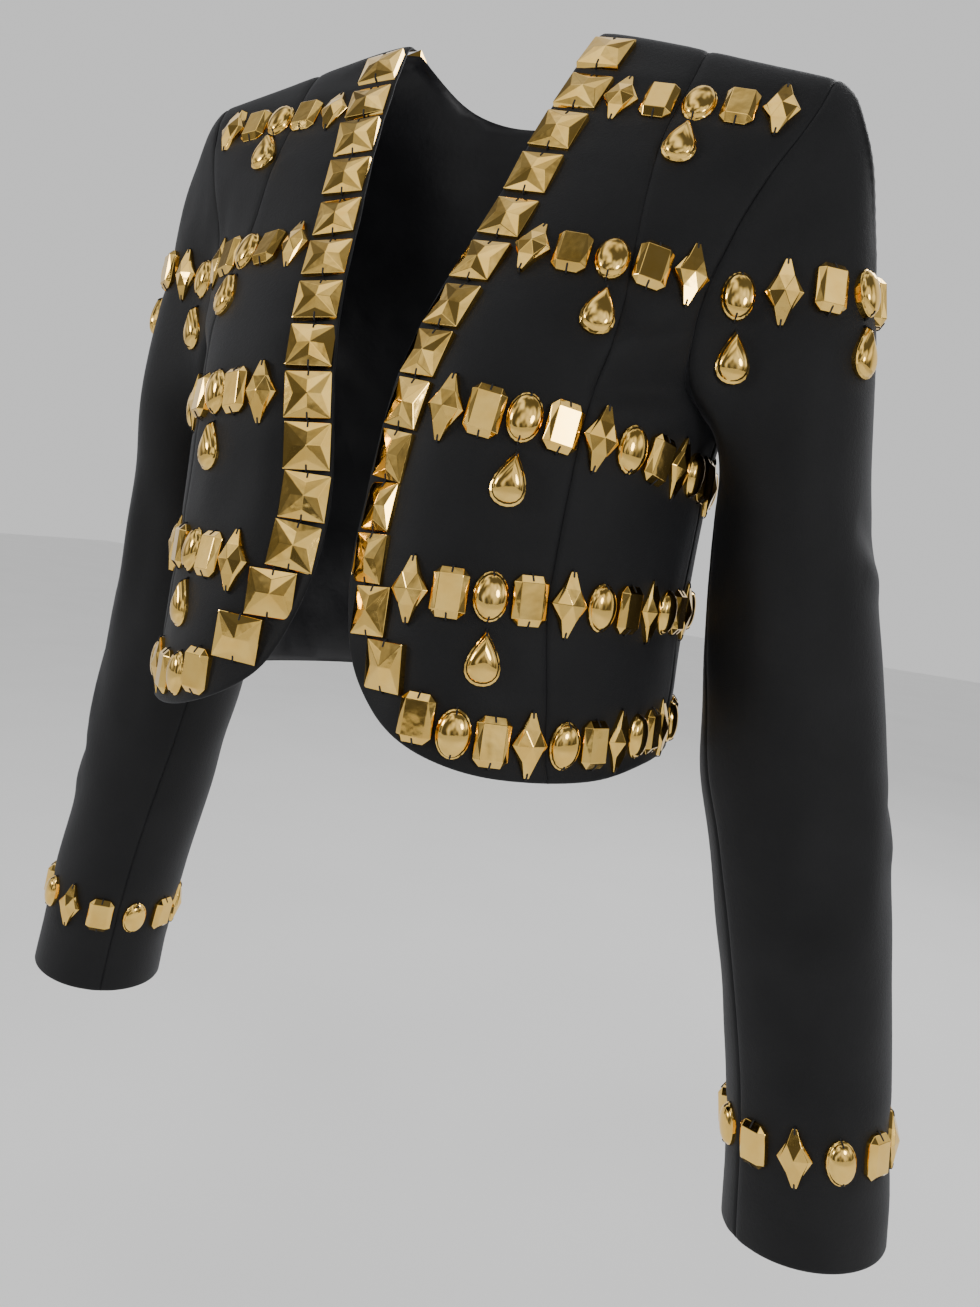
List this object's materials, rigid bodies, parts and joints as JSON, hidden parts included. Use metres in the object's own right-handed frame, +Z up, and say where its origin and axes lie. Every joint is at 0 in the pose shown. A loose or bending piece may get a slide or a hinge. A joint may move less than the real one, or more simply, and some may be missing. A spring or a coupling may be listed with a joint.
{
  "type": "beaded cropped jacket",
  "caption": "Collarless cropped jacket of black cloth with squared shoulders, cutaway open fronts and long sleeves, set with rows of large gold-coloured faceted stones.",
  "frame": {"origin": "middle of the shoulder line, in the neck opening, where the wearer holds the jacket up", "axes": "+X to the wearer's left, -Y the front, +Z up"},
  "size_m": [0.6548, 0.2656, 0.6885],
  "materials": {
    "cloth": "matte"
  },
  "bodies": {
    "root": {"front_left": "cloth", "side_front_left": "cloth", "front_right": "cloth", "side_front_right": "cloth", "back_left": "cloth", "back_right": "cloth", "sleeve_upper_left": "cloth", "sleeve_under_left": "cloth", "sleeve_upper_right": "cloth", "sleeve_under_right": "cloth"}
  },
  "joints": []
}
